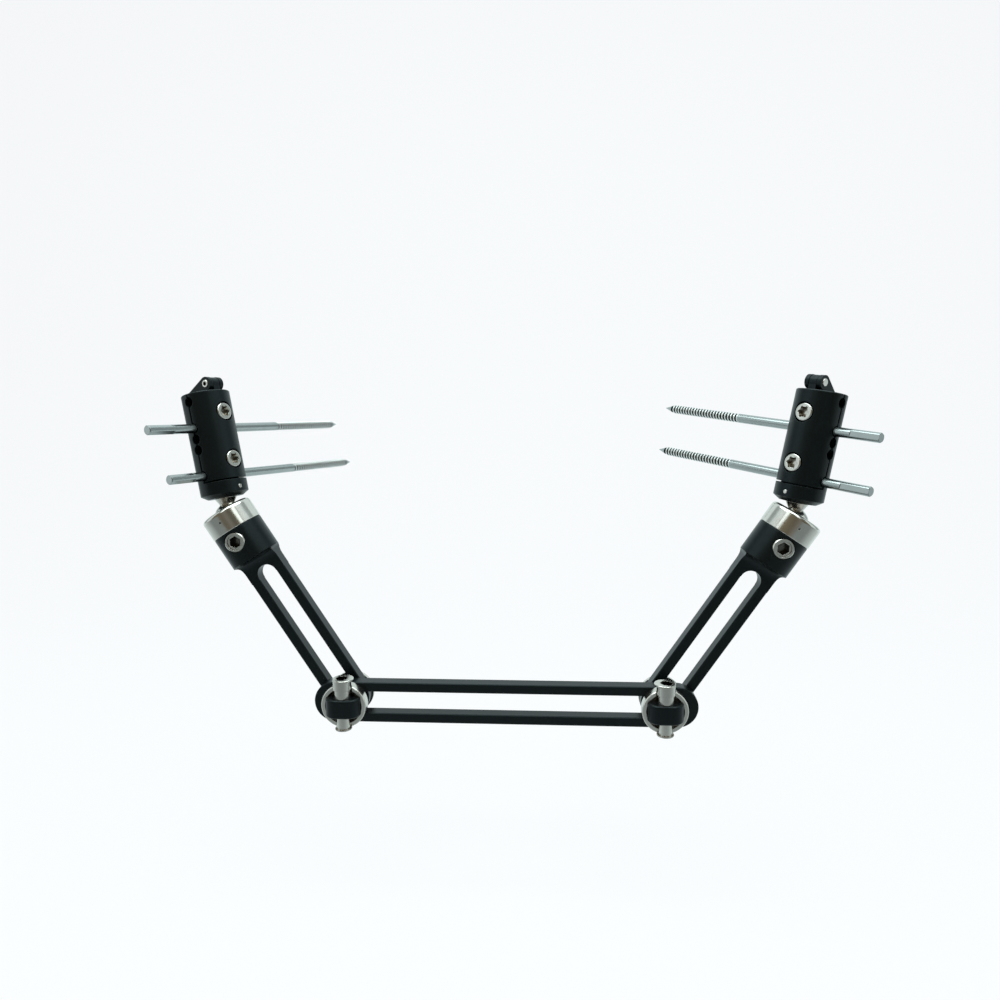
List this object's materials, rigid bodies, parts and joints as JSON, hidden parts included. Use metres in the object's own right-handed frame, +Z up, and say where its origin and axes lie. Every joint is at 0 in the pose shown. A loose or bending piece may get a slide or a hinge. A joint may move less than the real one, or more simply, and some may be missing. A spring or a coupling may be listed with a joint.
{
  "type": "external fixator",
  "caption": "Pelvic external fixator: a slotted centre bar and arms on cam-lock corners, with ball-jointed split clamps that grip threaded bone pins.",
  "frame": {"origin": "centre of the centre bar's slot, at the bar's mid thickness", "axes": "+X along the bar to the viewer's right, +Y away from the front, +Z up"},
  "size_m": [0.4324, 0.1667, 0.2277],
  "materials": {
    "black_anodised": "satin black anodised",
    "satin_steel": "satin turned stainless steel",
    "pin_steel": "ground stainless steel"
  },
  "bodies": {
    "centre_bar": {"centre_bar": "black_anodised"},
    "left_corner": {"left_cam_cup": "satin_steel", "left_draw_rod": "black_anodised", "left_back_disc": "satin_steel"},
    "left_cam": {"left_corner_cam": "satin_steel", "left_cam_clip": "satin_steel"},
    "left_block": {"left_slide_block": "black_anodised"},
    "left_arm": {"left_arm": "black_anodised", "left_ball_collar": "satin_steel"},
    "left_lock": {"left_lock_cam": "satin_steel"},
    "left_seat": {"left_ball_seat": "satin_steel"},
    "left_stud": {"left_ball_stud": "satin_steel"},
    "left_clamp": {"left_clamp_body": "black_anodised", "left_stud_dowel": "satin_steel", "left_hinge_pin": "satin_steel", "left_upper_pin": "pin_steel", "left_lower_pin": "pin_steel"},
    "left_cover": {"left_clamp_cover": "black_anodised", "left_upper_screw": "satin_steel", "left_lower_screw": "satin_steel"},
    "right_corner": {"right_cam_cup": "satin_steel", "right_draw_rod": "black_anodised", "right_back_disc": "satin_steel"},
    "right_cam": {"right_corner_cam": "satin_steel", "right_cam_clip": "satin_steel"},
    "right_block": {"right_slide_block": "black_anodised"},
    "right_arm": {"right_arm": "black_anodised", "right_ball_collar": "satin_steel"},
    "right_lock": {"right_lock_cam": "satin_steel"},
    "right_seat": {"right_ball_seat": "satin_steel"},
    "right_stud": {"right_ball_stud": "satin_steel"},
    "right_clamp": {"right_clamp_body": "black_anodised", "right_stud_dowel": "satin_steel", "right_hinge_pin": "satin_steel", "right_upper_pin": "pin_steel", "right_lower_pin": "pin_steel"},
    "right_cover": {"right_clamp_cover": "black_anodised", "right_upper_screw": "satin_steel", "right_lower_screw": "satin_steel"}
  },
  "joints": [
    {"name": "left_corner_slide", "type": "slide", "parent": "centre_bar", "child": "left_corner", "axis": [1, 0, 0], "range_m": [0, 0.06]},
    {"name": "left_cam_turn", "type": "hinge", "parent": "left_corner", "child": "left_cam", "pos_m": [-0.1035, -0.0122, 0], "axis": [0, 0, 1], "range_deg": [0, 180]},
    {"name": "left_arm_swing", "type": "hinge", "parent": "left_corner", "child": "left_block", "pos_m": [-0.1035, 0, 0], "axis": [0, 1, 0], "range_deg": [-35, 35]},
    {"name": "left_arm_slide", "type": "slide", "parent": "left_block", "child": "left_arm", "axis": [0.5284, 0, -0.849], "range_m": [0, 0.06]},
    {"name": "left_lock_turn", "type": "hinge", "parent": "left_arm", "child": "left_lock", "pos_m": [-0.17029, 0.00612, 0.10731], "axis": [0, 1, 0], "range_deg": [0, 90]},
    {"name": "left_ball_twist", "type": "hinge", "parent": "left_arm", "child": "left_seat", "pos_m": [-0.17933, 0.00612, 0.12183], "axis": [-0.5284, 0, 0.849], "continuous": true},
    {"name": "left_ball_tilt", "type": "hinge", "parent": "left_seat", "child": "left_stud", "pos_m": [-0.17933, 0.00612, 0.12183], "axis": [-0.2269, 0.9636, -0.1412], "range_deg": [-45.9, 2.1]},
    {"name": "left_clamp_swivel", "type": "hinge", "parent": "left_stud", "child": "left_clamp", "pos_m": [-0.17933, 0.00612, 0.12183], "axis": [-0.1852, 0.0997, 0.9776], "continuous": true},
    {"name": "left_cover_open", "type": "hinge", "parent": "left_clamp", "child": "left_cover", "pos_m": [-0.18826, 0.01176, 0.20774], "axis": [-0.3911, -0.9201, 0.0197], "range_deg": [0, 3]},
    {"name": "right_corner_slide", "type": "slide", "parent": "centre_bar", "child": "right_corner", "axis": [1, 0, 0], "range_m": [-0.06, 0]},
    {"name": "right_cam_turn", "type": "hinge", "parent": "right_corner", "child": "right_cam", "pos_m": [0.1027, -0.0122, 0], "axis": [0, 0, 1], "range_deg": [0, 180]},
    {"name": "right_arm_swing", "type": "hinge", "parent": "right_corner", "child": "right_block", "pos_m": [0.1027, 0, 0], "axis": [0, 1, 0], "range_deg": [-35, 35]},
    {"name": "right_arm_slide", "type": "slide", "parent": "right_block", "child": "right_arm", "axis": [0.5519, 0, 0.8339], "range_m": [-0.06, 0]},
    {"name": "right_lock_turn", "type": "hinge", "parent": "right_arm", "child": "right_lock", "pos_m": [0.1718, 0.00612, 0.1044], "axis": [0, 1, 0], "range_deg": [0, 90]},
    {"name": "right_ball_twist", "type": "hinge", "parent": "right_arm", "child": "right_seat", "pos_m": [0.18124, 0.00612, 0.11866], "axis": [0.5519, 0, 0.8339], "continuous": true},
    {"name": "right_ball_tilt", "type": "hinge", "parent": "right_seat", "child": "right_stud", "pos_m": [0.18124, 0.00612, 0.11866], "axis": [-0.0582, -0.9976, 0.0385], "range_deg": [-47, 1]},
    {"name": "right_clamp_swivel", "type": "hinge", "parent": "right_stud", "child": "right_clamp", "pos_m": [0.18124, 0.00612, 0.11866], "axis": [0.183, 0.0273, 0.9827], "continuous": true},
    {"name": "right_cover_open", "type": "hinge", "parent": "right_clamp", "child": "right_cover", "pos_m": [0.19101, 0.00366, 0.20463], "axis": [-0.6108, 0.7865, 0.0919], "range_deg": [0, 3]}
  ]
}
